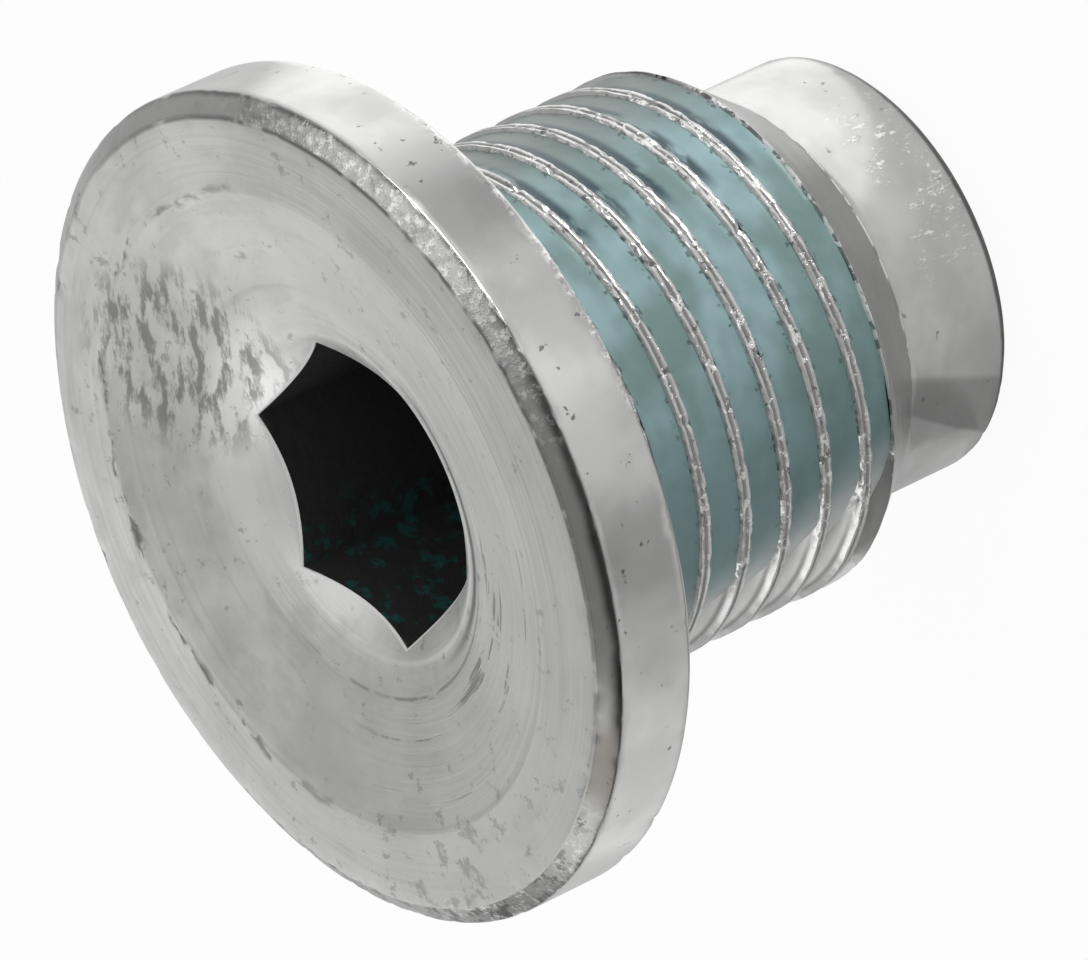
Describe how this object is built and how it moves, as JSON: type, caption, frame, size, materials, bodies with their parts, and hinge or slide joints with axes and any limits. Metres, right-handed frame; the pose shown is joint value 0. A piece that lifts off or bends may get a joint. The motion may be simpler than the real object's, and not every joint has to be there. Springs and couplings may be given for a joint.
{
  "type": "oil drain plug",
  "caption": "Flanged steel drain plug with a dished head, hexagon socket, sealant-filled metric thread and a plain pilot; screws into a sump and is sealed by its thread and seat.",
  "frame": {"origin": "centre of the pilot's end face, which the plug stands on", "axes": "+Z along the plug's axis towards the head; +X square to a flat of the hexagon"},
  "size_m": [0.025, 0.025, 0.0203],
  "materials": {
    "plated_steel": "turned, dull zinc plated",
    "sealant": "cured coating, satin"
  },
  "bodies": {
    "root": {"plug_body": "plated_steel", "thread_sealant": "sealant"}
  },
  "joints": []
}
